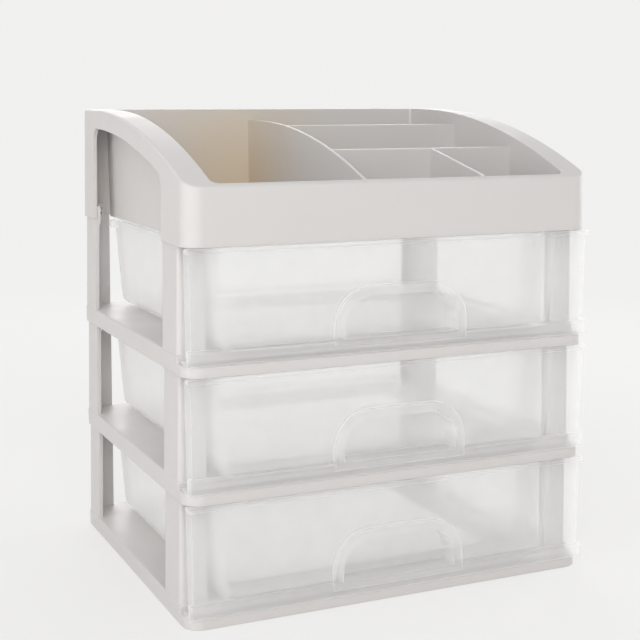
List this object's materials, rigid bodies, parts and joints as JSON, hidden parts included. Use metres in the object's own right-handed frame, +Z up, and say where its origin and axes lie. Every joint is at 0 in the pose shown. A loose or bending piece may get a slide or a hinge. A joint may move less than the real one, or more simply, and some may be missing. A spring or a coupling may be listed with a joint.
{
  "type": "drawer organizer",
  "caption": "Desktop organizer with a divided open tray on top of stacked shelf frames, each carrying a translucent sliding drawer with an arched finger pull.",
  "frame": {"origin": "on the table, under the middle of the whole organizer's box", "axes": "+X to the right seen from the front, +Y to the rear, +Z up"},
  "size_m": [0.245, 0.2014, 0.267],
  "materials": {
    "frame_plastic": "warm light grey injection moulding, satin",
    "drawer_plastic": "frosted translucent injection moulding"
  },
  "bodies": {
    "frame": {"base_shelf_frame": "frame_plastic", "middle_shelf_frame": "frame_plastic", "upper_shelf_frame": "frame_plastic", "top_tray": "frame_plastic"},
    "lower_drawer": {"lower_drawer": "drawer_plastic"},
    "middle_drawer": {"middle_drawer": "drawer_plastic"},
    "upper_drawer": {"upper_drawer": "drawer_plastic"}
  },
  "joints": [
    {"name": "lower_drawer_slide", "type": "slide", "parent": "frame", "child": "lower_drawer", "axis": [0, -1, 0], "range_m": [0, 0.16]},
    {"name": "middle_drawer_slide", "type": "slide", "parent": "frame", "child": "middle_drawer", "axis": [0, -1, 0], "range_m": [0, 0.16]},
    {"name": "upper_drawer_slide", "type": "slide", "parent": "frame", "child": "upper_drawer", "axis": [0, -1, 0], "range_m": [0, 0.16]}
  ]
}
